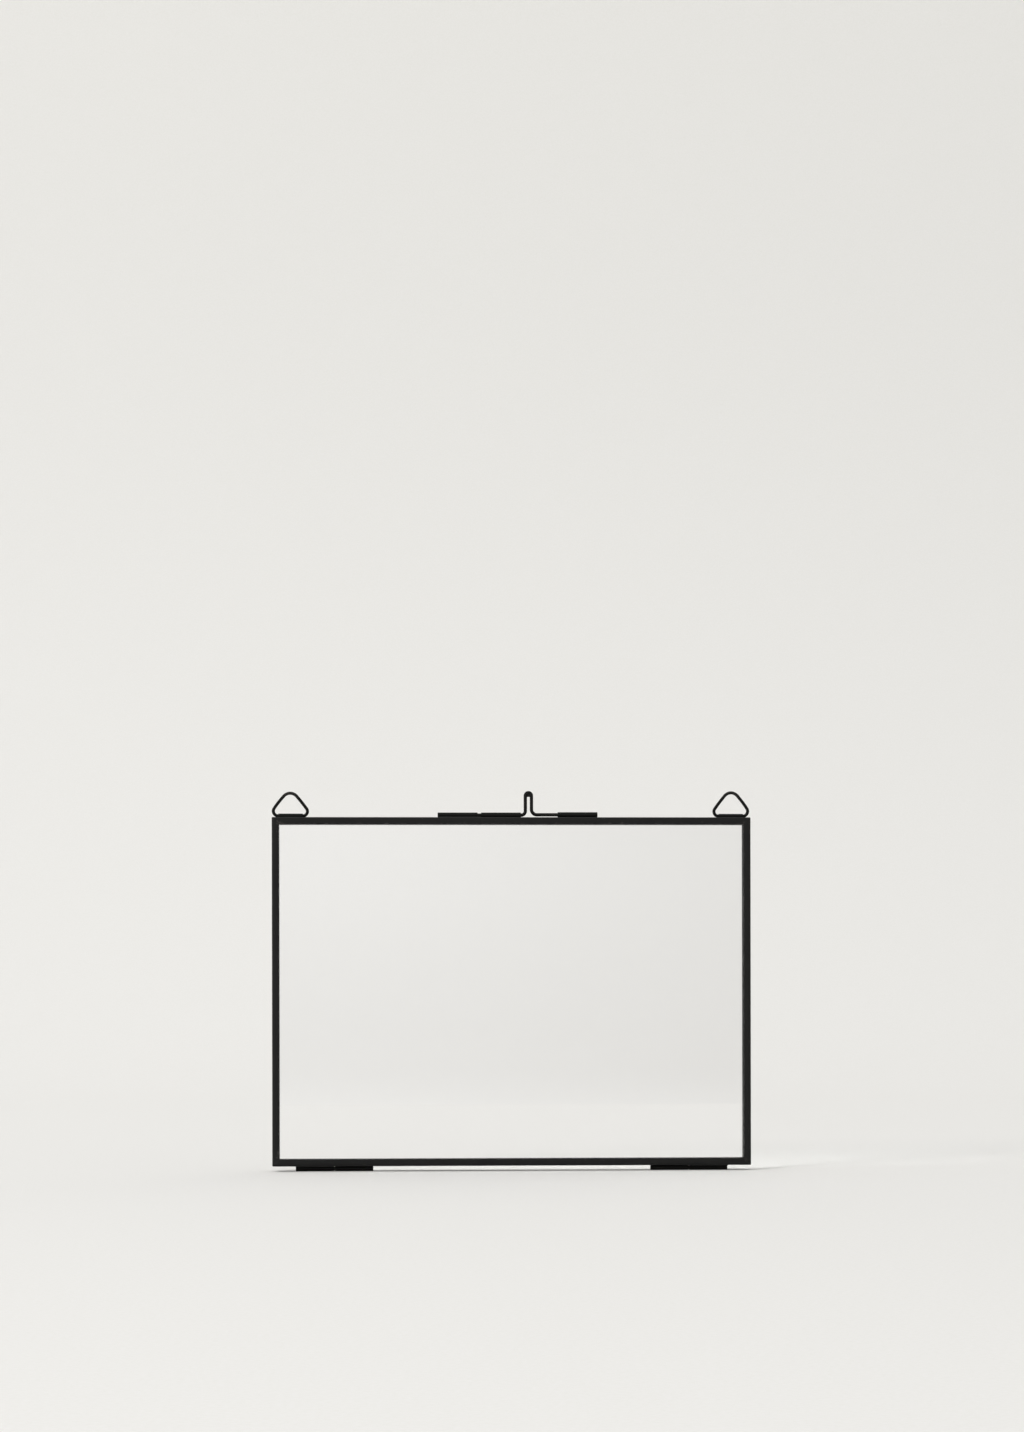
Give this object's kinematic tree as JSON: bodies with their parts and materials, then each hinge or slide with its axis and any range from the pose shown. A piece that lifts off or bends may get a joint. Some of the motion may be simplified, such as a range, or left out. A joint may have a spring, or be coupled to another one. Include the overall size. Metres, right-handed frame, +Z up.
{
  "type": "hanging double-glass picture frame",
  "caption": "Landscape picture frame of two hinged, glazed metal half frames, with a sliding wire latch on top, barrel hinges below and wire hanging rings at the top corners.",
  "frame": {"origin": "under the middle of the frame, halfway through its depth, at the lowest line of the hinge barrels", "axes": "+X along the width to the right as seen from the front, -Y out of the front, +Z up towards the hanging rings"},
  "size_m": [0.187, 0.0084, 0.1482],
  "materials": {
    "frame_metal": "satin black lacquer on folded sheet",
    "barrel_metal": "satin black lacquer on rolled strip",
    "wire_metal": "satin black lacquer on bent wire",
    "pane_glass": "clear float glass, polished"
  },
  "bodies": {
    "back_frame": {"back_bottom_channel": "frame_metal", "back_left_channel": "frame_metal", "back_top_channel": "frame_metal", "back_right_channel": "frame_metal", "back_glass": "pane_glass", "latch_guide_barrel": "barrel_metal", "latch_tail_barrel": "barrel_metal", "hinge_left_back_knuckle": "barrel_metal", "hinge_right_back_knuckle": "barrel_metal", "hinge_left_pin": "wire_metal", "hinge_right_pin": "wire_metal", "ring_left_sleeve": "barrel_metal", "ring_right_sleeve": "barrel_metal"},
    "front_frame": {"front_bottom_channel": "frame_metal", "front_left_channel": "frame_metal", "front_top_channel": "frame_metal", "front_right_channel": "frame_metal", "front_glass": "pane_glass", "latch_catch_barrel": "barrel_metal", "hinge_left_front_knuckle": "barrel_metal", "hinge_right_front_knuckle": "barrel_metal"},
    "latch_pin": {"latch_pin": "wire_metal"},
    "ring_left": {"ring_left": "wire_metal"},
    "ring_right": {"ring_right": "wire_metal"}
  },
  "joints": [
    {"name": "front_hinge", "type": "hinge", "parent": "back_frame", "child": "front_frame", "pos_m": [0, 0, 0.00095], "axis": [1, 0, 0], "range_deg": [0, 180]},
    {"name": "latch_slide", "type": "slide", "parent": "back_frame", "child": "latch_pin", "axis": [1, 0, 0], "range_m": [0, 0.008]},
    {"name": "ring_left_swing", "type": "hinge", "parent": "back_frame", "child": "ring_left", "pos_m": [-0.0864, 0.0022, 0.13885], "axis": [1, 0, 0], "range_deg": [-90, 90]},
    {"name": "ring_right_swing", "type": "hinge", "parent": "back_frame", "child": "ring_right", "pos_m": [0.0864, 0.0022, 0.13885], "axis": [1, 0, 0], "range_deg": [-90, 90]}
  ]
}
